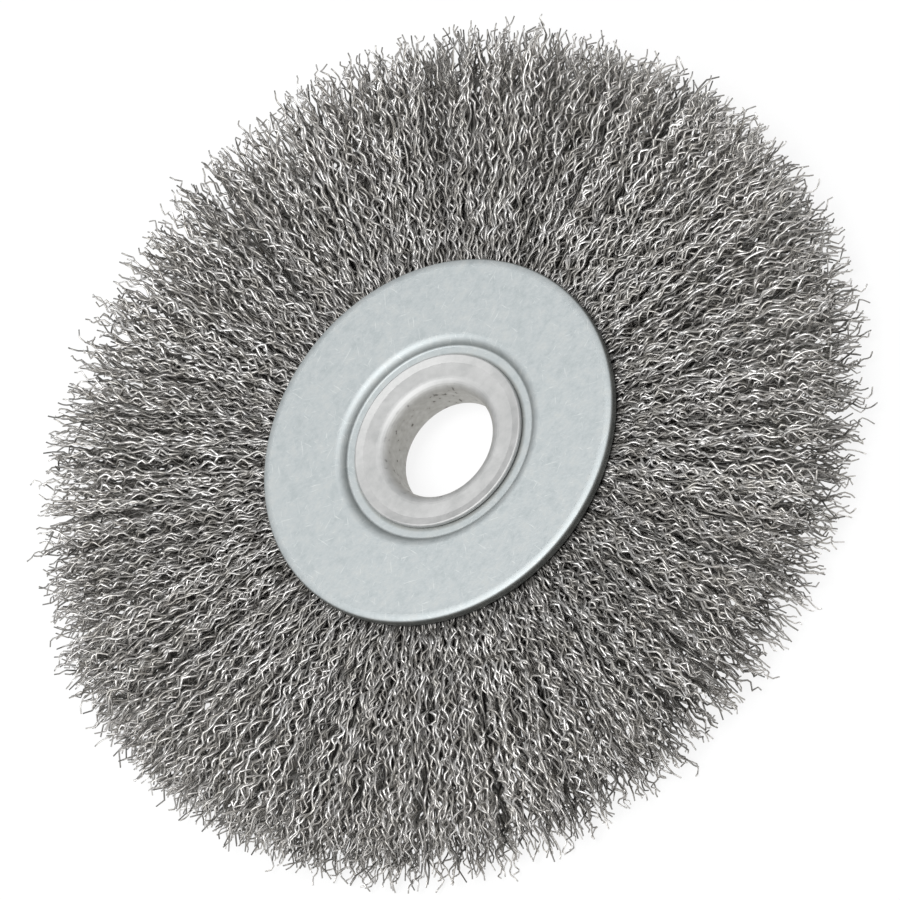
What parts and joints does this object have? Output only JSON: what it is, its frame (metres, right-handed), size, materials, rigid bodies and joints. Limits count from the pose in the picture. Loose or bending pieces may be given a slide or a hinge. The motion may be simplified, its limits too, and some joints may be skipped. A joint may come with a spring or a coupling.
{
  "type": "wire wheel brush",
  "caption": "Flat brush wheel: crimped steel wires fan out from between stamped, zinc-plated side plates that a flared sleeve with a round arbor hole holds together.",
  "frame": {"origin": "middle of the arbor hole, halfway through the width of the wheel", "axes": "+Z along the arbor axis, away from the surface that the wheel lies flat on"},
  "size_m": [0.1264, 0.126, 0.012],
  "materials": {
    "zinc_plate": "zinc plated, satin with fine scuffs",
    "sleeve_steel": "bare steel, satin",
    "ring_steel": "plain drawn steel wire",
    "crimped_wire": "drawn and crimped steel wire"
  },
  "bodies": {
    "root": {"front_side_plate": "zinc_plate", "rear_side_plate": "zinc_plate", "arbor_sleeve": "sleeve_steel", "retaining_ring": "ring_steel", "wire_bundle_01": "crimped_wire", "wire_bundle_02": "crimped_wire", "wire_bundle_03": "crimped_wire", "wire_bundle_04": "crimped_wire", "wire_bundle_05": "crimped_wire", "wire_bundle_06": "crimped_wire", "wire_bundle_07": "crimped_wire", "wire_bundle_08": "crimped_wire", "wire_bundle_09": "crimped_wire", "wire_bundle_10": "crimped_wire", "wire_bundle_11": "crimped_wire", "wire_bundle_12": "crimped_wire", "wire_bundle_13": "crimped_wire", "wire_bundle_14": "crimped_wire", "wire_bundle_15": "crimped_wire", "wire_bundle_16": "crimped_wire", "wire_bundle_17": "crimped_wire", "wire_bundle_18": "crimped_wire"}
  },
  "joints": []
}
